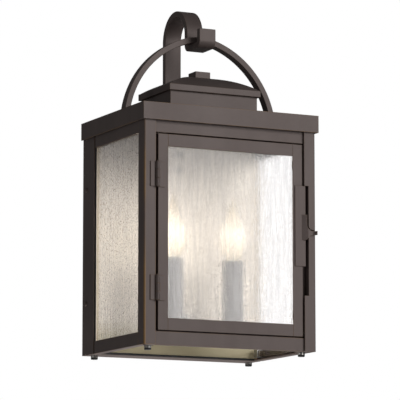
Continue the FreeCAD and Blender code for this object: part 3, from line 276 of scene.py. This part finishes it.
def moulded(name, colour, rough=0.42):
    """Enamel, moulding compound or ground glass: even, with a slight cloud."""
    s = Shader(name)
    grain = s.noise(1100.0, 2.0)
    cloud = s.noise(35.0, 3.0)
    shader = s.principled(Base_Color=s.blend(s.span(cloud, 0.35, 0.65), colour, scaled(colour, 0.86)),
                          Roughness=s.even(grain, rough - 0.06, rough + 0.08),
                          Normal=s.bump(grain, 0.00004, 0.5, s.bevel(0.0004)))
    return s.done(shader.outputs[0])


def through(s, shader):
    """Lets light pass the glass: shadow rays go straight through."""
    clear = s.add("BsdfTransparent")
    clear.inputs["Color"].default_value = rgb(0.96, 0.965, 0.96)
    mix = s.add("MixShader")
    for socket, source in zip(mix.inputs, (s.add("LightPath").outputs["Is Shadow Ray"],
                                           shader, clear.outputs[0])):
        s.put(socket, source)
    return mix.outputs[0]


def rain_glass(name):
    """Clear glass with seeds and the fine vertical drips of rain glass."""
    s = Shader(name)
    drips = s.noise(430.0, 2.5, (1.0, 1.0, 0.045), 0.6, 0.2)
    ripple = s.noise(240.0, 2.0, (1.0, 1.0, 0.30), 0.5)
    seeds = s.span(s.cells(400.0, (1.0, 1.0, 0.8)), 0.05, 0.34, 1.0, 0.0)
    grain = s.noise(700.0, 1.5, (1.0, 1.0, 0.75))
    height = s.maths("ADD", s.maths("MULTIPLY", drips, 0.50), s.maths("MULTIPLY", ripple, 0.40))
    height = s.maths("ADD", height, s.maths("MULTIPLY", seeds, 0.55))
    tint = s.blend(s.span(drips, 0.42, 0.56), rgb(0.84, 0.84, 0.85), rgb(1.0, 1.0, 1.0))
    tint = s.blend(s.span(grain, 0.48, 0.60, 0.0, 0.7), tint, rgb(0.76, 0.74, 0.74))
    shader = s.principled(Base_Color=tint, Normal=s.bump(height, 0.00028, 0.9),
                          Roughness=GLASS_ROUGHNESS, Transmission_Weight=1.0, IOR=GLASS_IOR)
    return s.done(through(s, shader.outputs[0]))


def lamp_shell():
    """The lamps' thin clear glass, brightest around the filament inside."""
    s = Shader("lamp_glass")
    film = s.noise(120.0, 3.0)
    away = s.maths("SUBTRACT", s.axes()["Z"], lamp_heart(LAMP_SIDES[0]).z)
    glow = s.blend(s.span(s.maths("ABSOLUTE", away), 0.0, 0.036),
                   rgb(1.0, 0.97, 0.92), rgb(0.06, 0.055, 0.05))
    shader = s.principled(Base_Color=s.blend(film, rgb(1.0, 0.97, 0.90), rgb(0.96, 0.93, 0.86)),
                          Normal=s.bump(film, 0.0002, 0.2), Emission_Color=glow, Emission_Strength=0.10,
                          Roughness=0.02, Transmission_Weight=1.0, IOR=1.2)
    return s.done(through(s, shader.outputs[0]))


def dress_pieces():
    """Gives each piece the material of its slot, or its own variant of the bronze."""
    post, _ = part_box("left_post")
    by_slot = {"bronze": bronze_paint("bronze_paint", 0.35),
               "zinc": bare_metal("zinc_plate", rgb(0.56, 0.55, 0.53), 0.34),
               "brass": bare_metal("lamp_brass", rgb(0.72, 0.58, 0.34), 0.28),
               "panel": satin_panel(),
               # Near-black rubber; the seal strip along the back panel's foot stands where there is only a
               # shadow gap, so its black is painted shade.
               "rubber": soft_rubber("black_rubber_and_gap_shade", rgb(0.018, 0.018, 0.018)),
               "lead": soft_rubber("lead_insulation", rgb(0.55, 0.54, 0.52)),
               "sleeve": moulded("sleeve_enamel", rgb(0.26, 0.245, 0.235)),
               "socket": moulded("socket_moulding", rgb(0.72, 0.70, 0.66)),
               "rain_glass": rain_glass("rain_glass"),
               "lamp_glass": lamp_shell()}
    rim = bronze_paint("bronze_rim", 0.75)
    special = {"left_post": bronze_paint("bronze_worn", 1.0, (post.x, post.y)),
               "roof": rim, "chimney_lid": rim, "front_bottom_rail": rim}
    ground_edge = moulded("ground_glass_edge", rgb(0.90, 0.80, 0.66), 0.6)
    for row in frame["record"]["subparts"]:
        name = row["node"]
        mesh = nodes[name].data
        mesh.materials.clear()
        mesh.materials.append(special.get(name, by_slot[row["material_slot"]]))
        if name.endswith("_side_glass"):
            mesh.materials.append(ground_edge)
            for face in mesh.polygons:
                face.material_index = int(abs(face.normal.x) < GROUND_END)


# ---------------------------------------------------------------- light, backdrop, floor and camera


def put_in_scene(name, data):
    thing = bpy.data.objects.new(name, data)
    bpy.context.scene.collection.objects.link(thing)
    return thing


def light_lamps():
    """A warm point light in each lamp, which only its effect shows."""
    for side in LAMP_SIDES:
        data = bpy.data.lights.new(side + "_glow", "POINT")
        data.energy = LAMP_ENERGY
        data.color = LAMP_COLOUR
        data.shadow_soft_size = LAMP_RADIUS
        lamp = put_in_scene(side + "_glow", data)
        lamp.location = lamp_heart(side)
        lamp.visible_camera = False
        lamp.visible_transmission = False


def area_light(name, place, aim, size, watts, colour):
    data = bpy.data.lights.new(name, "AREA")
    data.shape = "RECTANGLE"
    data.size, data.size_y = size
    data.energy = watts
    data.color = colour
    light = put_in_scene(name, data)
    light.location = place
    light.rotation_euler = (Vector(aim) - Vector(place)).to_track_quat("-Z", "Y").to_euler()
    light.visible_camera = False
    return light


def light_studio():
    """A broad key from the right, a weak side light, and a bounce onto the underside."""
    middle = middle_of(cad_low, cad_high)
    area_light("key", (0.9, -2.2, 0.55), middle, (1.4, 1.4), 20.0, (1.0, 0.985, 0.97))
    area_light("side", (-2.2, -0.8, 0.2), middle, (1.2, 1.6), 2.7, (1.0, 0.97, 0.94))
    bounce = area_light("bounce", (0.0, 0.10, -0.55), (0.0, -0.03, 0.0), (0.5, 0.3), 2.2,
                        (1.0, 0.98, 0.96))
    bounce.visible_transmission = False  # or it shows as a white patch through the panes


def light_room():
    """A white room that shows to the camera and through glass, and hardly lights the part."""
    world = bpy.data.worlds.new("studio")
    bpy.context.scene.world = world
    world.use_nodes = True
    tree = world.node_tree
    tree.nodes.clear()

    def backdrop(strength):
        node = tree.nodes.new("ShaderNodeBackground")
        node.inputs["Color"].default_value = rgb(1, 1, 1)
        node.inputs["Strength"].default_value = strength
        return node.outputs[0]

    def either(share, first, second):
        node = tree.nodes.new("ShaderNodeMixShader")
        for socket, source in zip(node.inputs, (share, first, second)):
            tree.links.new(source, socket)
        return node.outputs[0]

    rays = tree.nodes.new("ShaderNodeLightPath").outputs
    unseen = either(rays["Is Transmission Ray"], backdrop(ROOM_GLOW), backdrop(ROOM_THROUGH_GLASS))
    room = either(rays["Is Camera Ray"], unseen, backdrop(ROOM_SEEN))
    tree.links.new(room, tree.nodes.new("ShaderNodeOutputWorld").inputs["Surface"])


def lay_floor():
    mesh = bpy.data.meshes.new("floor")
    corners = [(x * FLOOR_HALF, y * FLOOR_HALF, FLOOR_HEIGHT)
               for x, y in ((-1, -1), (1, -1), (1, 1), (-1, 1))]
    mesh.from_pydata(corners, [], [(0, 1, 2, 3)])
    s = Shader("pale_floor")
    mesh.materials.append(s.done(s.principled(Base_Color=rgb(0.86, 0.86, 0.86), Roughness=0.6).outputs[0]))
    put_in_scene("floor", mesh)


def set_camera():
    data = bpy.data.cameras.new("camera")
    data.lens = CAMERA_LENS
    data.sensor_width = CAMERA_SENSOR
    data.clip_start, data.clip_end = CAMERA_CLIP
    camera = put_in_scene("camera", data)
    camera.location = CAMERA_PLACE
    camera.rotation_euler = Vector(CAMERA_LOOK).to_track_quat("-Z", "Y").to_euler()
    scene = bpy.context.scene
    scene.camera = camera
    scene.view_settings.view_transform = "Standard"


dress_pieces()
light_lamps()
light_studio()
light_room()
lay_floor()
set_camera()
